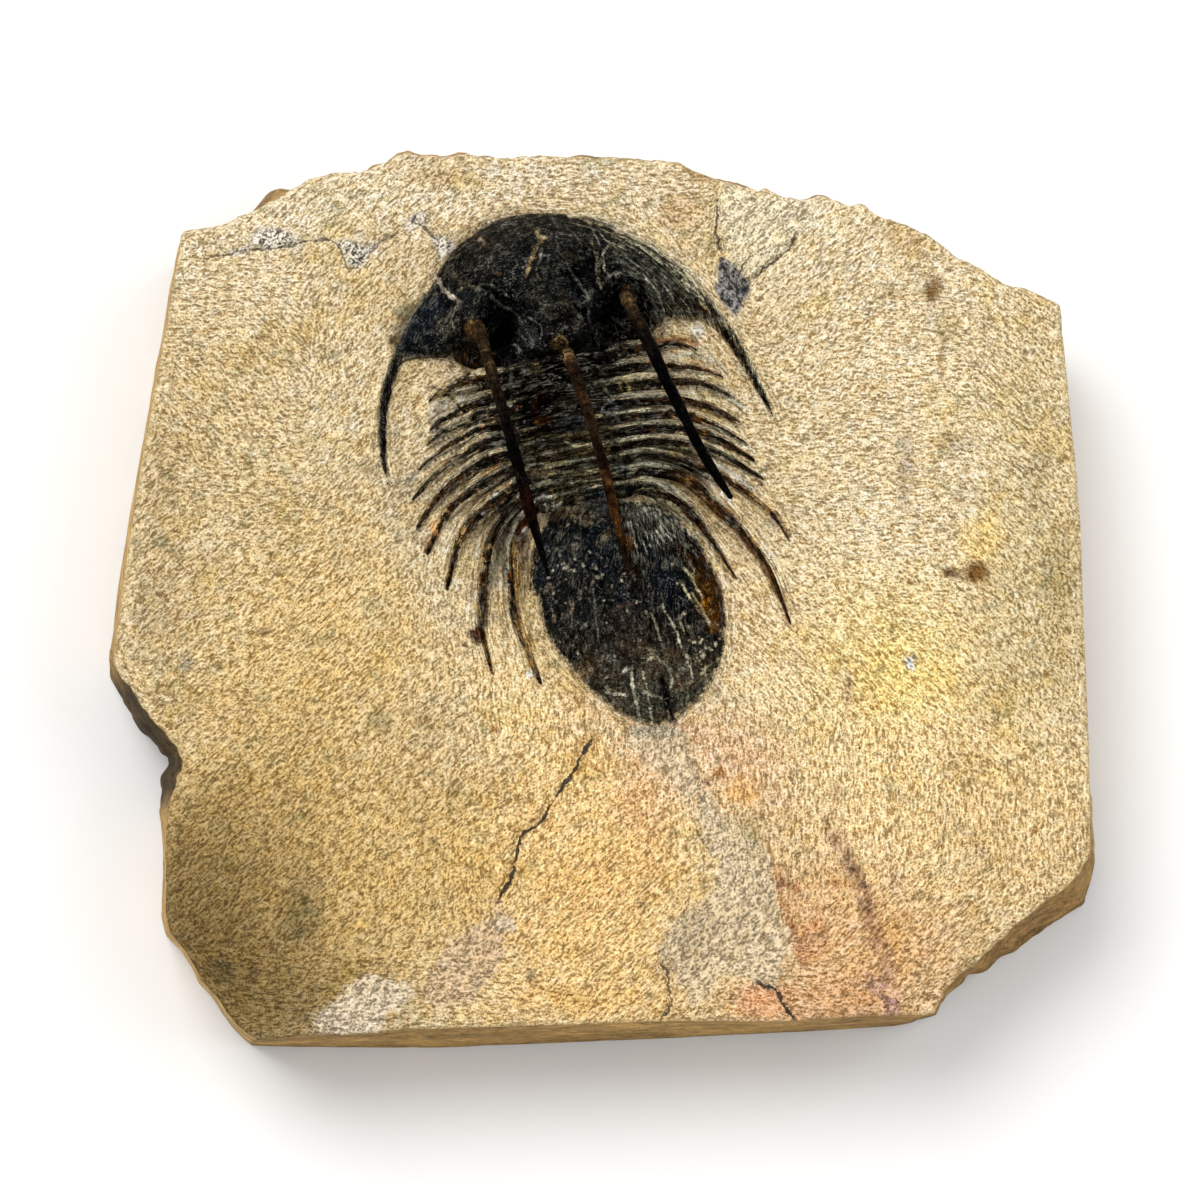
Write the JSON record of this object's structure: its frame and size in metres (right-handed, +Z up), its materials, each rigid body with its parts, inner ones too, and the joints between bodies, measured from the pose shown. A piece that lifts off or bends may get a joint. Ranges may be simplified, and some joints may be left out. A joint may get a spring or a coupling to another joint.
{
  "type": "trilobite fossil",
  "caption": "Spiny trilobite fossil, dark shell with long eye spines, neck spine, cheek spines and a fan-shaped tail, lying on a loose slab of pale limestone matrix.",
  "frame": {"origin": "middle of the slab's flat underside, which is the bottom centre of the whole part's box", "axes": "+Z up out of the slab's top face, +Y towards the trilobite's head, +X towards the slab's sawn right-hand side"},
  "size_m": [0.1016, 0.0914, 0.0315],
  "materials": {
    "limestone": "sawn and prepared cream limestone, matte",
    "black_shell": "blue-black calcified shell, satin",
    "brown_shell": "dark brown calcified shell, satin",
    "tail_shell": "black-brown calcified shell, satin"
  },
  "bodies": {
    "root": {"matrix_slab": "limestone", "cranidium": "black_shell", "librigena_left": "black_shell", "librigena_right": "black_shell", "thoracic_segment_01": "brown_shell", "thoracic_segment_02": "brown_shell", "thoracic_segment_03": "brown_shell", "thoracic_segment_04": "brown_shell", "thoracic_segment_05": "brown_shell", "thoracic_segment_06": "brown_shell", "thoracic_segment_07": "brown_shell", "thoracic_segment_08": "brown_shell", "thoracic_segment_09": "brown_shell", "thoracic_segment_10": "brown_shell", "pygidium": "tail_shell"}
  },
  "joints": []
}
